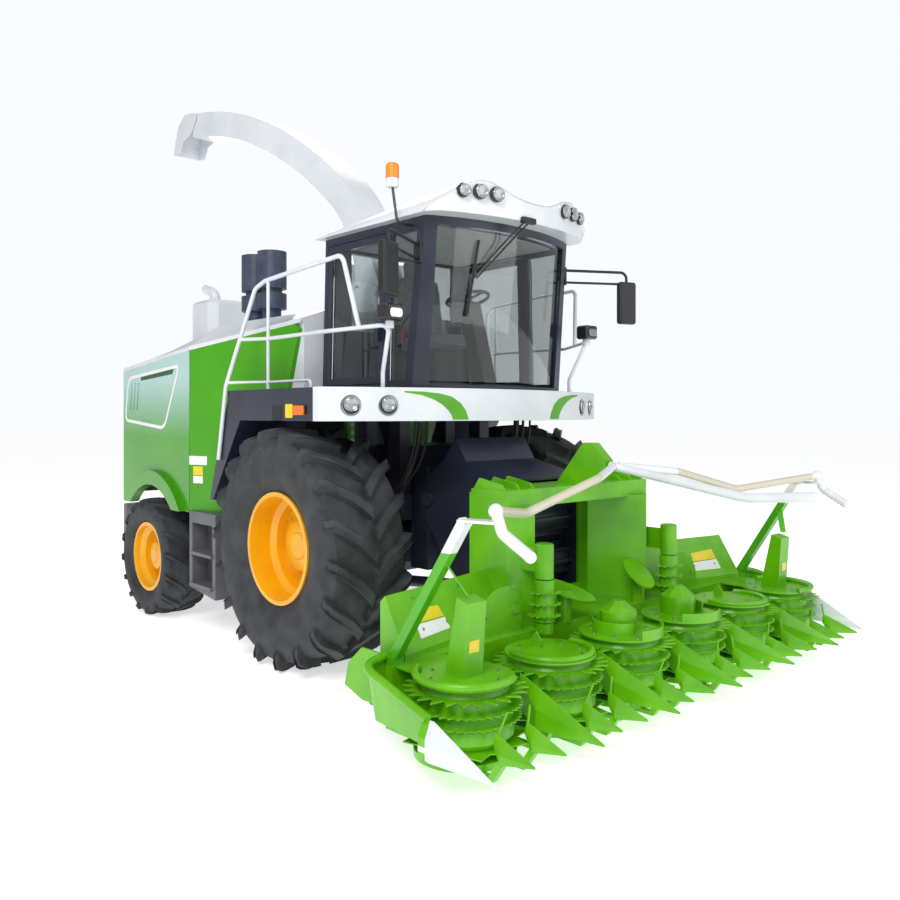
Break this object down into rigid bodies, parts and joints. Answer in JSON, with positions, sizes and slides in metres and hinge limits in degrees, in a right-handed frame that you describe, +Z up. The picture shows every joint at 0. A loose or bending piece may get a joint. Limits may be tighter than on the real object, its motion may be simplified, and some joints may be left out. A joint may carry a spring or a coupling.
{
  "type": "self-propelled forage harvester",
  "caption": "Self-propelled forage harvester with a rotary maize header, glazed cab, steered rear wheels and a slewing discharge spout.",
  "frame": {"origin": "on the ground under the middle of the machine's length and width", "axes": "+X forward, +Y to the machine's left, +Z up"},
  "size_m": [8.7562, 4.646, 6.0841],
  "materials": {
    "green_paint": "gloss",
    "white_paint": "gloss",
    "navy_paint": "satin",
    "grey_paint": "satin",
    "slate_plastic": "matte",
    "black_plastic": "matte",
    "seat_fabric": "matte",
    "glass": "clear",
    "lamp": "gloss",
    "cast_iron": "rough",
    "chrome": "polished",
    "tyre": "matte",
    "rim_paint": "gloss"
  },
  "bodies": {
    "chassis": {"chassis_frame": "navy_paint", "front_axle": "navy_paint", "rear_axle": "navy_paint", "engine_block": "cast_iron", "chopper_housing": "navy_paint", "platform_deck": "navy_paint", "cab_bumper": "white_paint", "cab_frame": "navy_paint", "cab_glass": "glass", "cab_roof": "white_paint", "operator_seat": "seat_fabric", "steering_column": "black_plastic", "handrails": "white_paint", "mirrors": "black_plastic", "lamps": "lamp", "side_panels": "green_paint", "side_skirts": "grey_paint", "engine_hood": "white_paint", "rear_screen": "grey_paint", "rear_bumper": "grey_paint", "exhaust_stack": "white_paint", "air_precleaners": "slate_plastic"},
    "tie_rod": {"tie_rod": "navy_paint"},
    "turret": {"spout_turret": "white_paint"},
    "spout": {"spout_sides": "white_paint", "spout_skins": "white_paint"},
    "flap": {"spout_flap": "white_paint"},
    "header": {"feeder_house": "navy_paint", "header_frame": "green_paint", "rotor_covers": "green_paint", "crop_points": "green_paint", "push_bars": "white_paint"},
    "feed_roll_upper": {"feed_roll_upper": "navy_paint"},
    "feed_roll_lower": {"feed_roll_lower": "navy_paint"},
    "lift_barrels": {"lift_barrels": "navy_paint"},
    "lift_rods": {"lift_rods": "chrome"},
    "wheel_front_left": {"tyre_front_left": "tyre", "rim_front_left": "rim_paint"},
    "wheel_rear_left": {"tyre_rear_left": "tyre", "rim_rear_left": "rim_paint"},
    "knuckle_left": {"knuckle_left": "navy_paint"},
    "door_left": {"door_left": "navy_paint", "door_glass_left": "glass"},
    "engine_door_left": {"engine_door_left": "green_paint"},
    "transport_drum_left": {"transport_drum_left": "green_paint"},
    "wheel_front_right": {"tyre_front_right": "tyre", "rim_front_right": "rim_paint"},
    "wheel_rear_right": {"tyre_rear_right": "tyre", "rim_rear_right": "rim_paint"},
    "knuckle_right": {"knuckle_right": "navy_paint"},
    "door_right": {"door_right": "navy_paint", "door_glass_right": "glass"},
    "engine_door_right": {"engine_door_right": "green_paint"},
    "transport_drum_right": {"transport_drum_right": "green_paint"},
    "rotor_1": {"rotor_1": "green_paint"},
    "rotor_2": {"rotor_2": "green_paint"},
    "rotor_3": {"rotor_3": "green_paint"},
    "rotor_4": {"rotor_4": "green_paint"},
    "rotor_5": {"rotor_5": "green_paint"},
    "rotor_6": {"rotor_6": "green_paint"}
  },
  "joints": [
    {"name": "front_wheel_left", "type": "hinge", "parent": "chassis", "child": "wheel_front_left", "pos_m": [0.67535, 1.33, 0.985], "axis": [0, 1, 0], "continuous": true},
    {"name": "front_wheel_right", "type": "hinge", "parent": "chassis", "child": "wheel_front_right", "pos_m": [0.67535, -1.33, 0.985], "axis": [0, 1, 0], "continuous": true},
    {"name": "steer_right", "type": "hinge", "parent": "chassis", "child": "knuckle_right", "pos_m": [-1.88465, -1.1, 0.605], "axis": [0, 0, 1], "range_deg": [-30, 30]},
    {"name": "rear_wheel_right", "type": "hinge", "parent": "knuckle_right", "child": "wheel_rear_right", "pos_m": [-1.88465, -1.42, 0.605], "axis": [0, 1, 0], "continuous": true},
    {"name": "steer_left", "type": "hinge", "parent": "chassis", "child": "knuckle_left", "pos_m": [-1.88465, 1.1, 0.605], "axis": [0, 0, 1], "range_deg": [-30, 30]},
    {"name": "rear_wheel_left", "type": "hinge", "parent": "knuckle_left", "child": "wheel_rear_left", "pos_m": [-1.88465, 1.42, 0.605], "axis": [0, 1, 0], "continuous": true},
    {"name": "tie_rod_slide", "type": "slide", "parent": "chassis", "child": "tie_rod", "axis": [0, -1, 0], "range_m": [-0.105, 0.105]},
    {"name": "header_lift", "type": "hinge", "parent": "chassis", "child": "header", "pos_m": [1.19535, 0, 1.35], "axis": [0, -1, 0], "range_deg": [-3, 18]},
    {"name": "lift_barrel_swing", "type": "hinge", "parent": "chassis", "child": "lift_barrels", "pos_m": [0.79535, 0, 0.6], "axis": [0, -1, 0], "range_deg": [-2.23, 10.87]},
    {"name": "lift_rod_slide", "type": "slide", "parent": "lift_barrels", "child": "lift_rods", "axis": [0.9961, 0, 0.0882], "range_m": [-0.0389, 0.2131]},
    {"name": "rotor_1_spin", "type": "hinge", "parent": "header", "child": "rotor_1", "pos_m": [3.17535, -1.875, 0.205], "axis": [0, 0, 1], "continuous": true},
    {"name": "rotor_2_spin", "type": "hinge", "parent": "header", "child": "rotor_2", "pos_m": [3.17535, -1.125, 0.205], "axis": [0, 0, 1], "continuous": true},
    {"name": "rotor_3_spin", "type": "hinge", "parent": "header", "child": "rotor_3", "pos_m": [3.17535, -0.375, 0.205], "axis": [0, 0, 1], "continuous": true},
    {"name": "rotor_4_spin", "type": "hinge", "parent": "header", "child": "rotor_4", "pos_m": [3.17535, 0.375, 0.205], "axis": [0, 0, 1], "continuous": true},
    {"name": "rotor_5_spin", "type": "hinge", "parent": "header", "child": "rotor_5", "pos_m": [3.17535, 1.125, 0.205], "axis": [0, 0, 1], "continuous": true},
    {"name": "rotor_6_spin", "type": "hinge", "parent": "header", "child": "rotor_6", "pos_m": [3.17535, 1.875, 0.205], "axis": [0, 0, 1], "continuous": true},
    {"name": "transport_drum_left_spin", "type": "hinge", "parent": "header", "child": "transport_drum_left", "pos_m": [2.81535, 0.77, 0.64], "axis": [0, 0, 1], "continuous": true},
    {"name": "transport_drum_right_spin", "type": "hinge", "parent": "header", "child": "transport_drum_right", "pos_m": [2.81535, -0.77, 0.64], "axis": [0, 0, 1], "continuous": true},
    {"name": "feed_roll_upper_spin", "type": "hinge", "parent": "header", "child": "feed_roll_upper", "pos_m": [1.94535, 0, 1.215], "axis": [0, 1, 0], "continuous": true},
    {"name": "feed_roll_lower_spin", "type": "hinge", "parent": "header", "child": "feed_roll_lower", "pos_m": [1.94535, 0, 0.845], "axis": [0, 1, 0], "continuous": true},
    {"name": "spout_slew", "type": "hinge", "parent": "chassis", "child": "turret", "pos_m": [-0.06465, 0, 2.96], "axis": [0, 0, 1], "range_deg": [-100, 100]},
    {"name": "spout_lift", "type": "hinge", "parent": "turret", "child": "spout", "pos_m": [0.11935, 0, 3.26], "axis": [0, 1, 0], "range_deg": [-13, 4]},
    {"name": "spout_flap_tilt", "type": "hinge", "parent": "spout", "child": "flap", "pos_m": [-3.75143, 0, 5.99566], "axis": [0, -1, 0], "range_deg": [-15, 30]},
    {"name": "cab_door_left", "type": "hinge", "parent": "chassis", "child": "door_left", "pos_m": [0.32235, 0.9, 2.9625], "axis": [0, 0, 1], "range_deg": [0, 30]},
    {"name": "engine_door_left", "type": "hinge", "parent": "chassis", "child": "engine_door_left", "pos_m": [-1.05665, 1.55, 2.699], "axis": [0.9959, 0.0177, 0.0885], "range_deg": [0, 62]},
    {"name": "cab_door_right", "type": "hinge", "parent": "chassis", "child": "door_right", "pos_m": [0.32235, -0.9, 2.9625], "axis": [0, 0, -1], "range_deg": [0, 30]},
    {"name": "engine_door_right", "type": "hinge", "parent": "chassis", "child": "engine_door_right", "pos_m": [-1.05665, -1.55, 2.699], "axis": [-0.9959, 0.0177, -0.0885], "range_deg": [0, 62]}
  ],
  "couplings": [
    {"joint": "steer_left", "follows": "steer_right", "ratio": 1},
    {"joint": "tie_rod_slide", "follows": "steer_right", "m_per_rad": 0.1948},
    {"joint": "lift_barrel_swing", "follows": "header_lift", "ratio": 0.5761},
    {"joint": "lift_rod_slide", "follows": "header_lift", "m_per_rad": 0.66566},
    {"joint": "rotor_2_spin", "follows": "rotor_1_spin", "ratio": 1},
    {"joint": "rotor_3_spin", "follows": "rotor_1_spin", "ratio": 1},
    {"joint": "rotor_4_spin", "follows": "rotor_1_spin", "ratio": -1},
    {"joint": "rotor_5_spin", "follows": "rotor_1_spin", "ratio": -1},
    {"joint": "rotor_6_spin", "follows": "rotor_1_spin", "ratio": -1},
    {"joint": "transport_drum_left_spin", "follows": "rotor_1_spin", "ratio": 2},
    {"joint": "transport_drum_right_spin", "follows": "rotor_1_spin", "ratio": -2},
    {"joint": "feed_roll_lower_spin", "follows": "feed_roll_upper_spin", "ratio": -1}
  ]
}
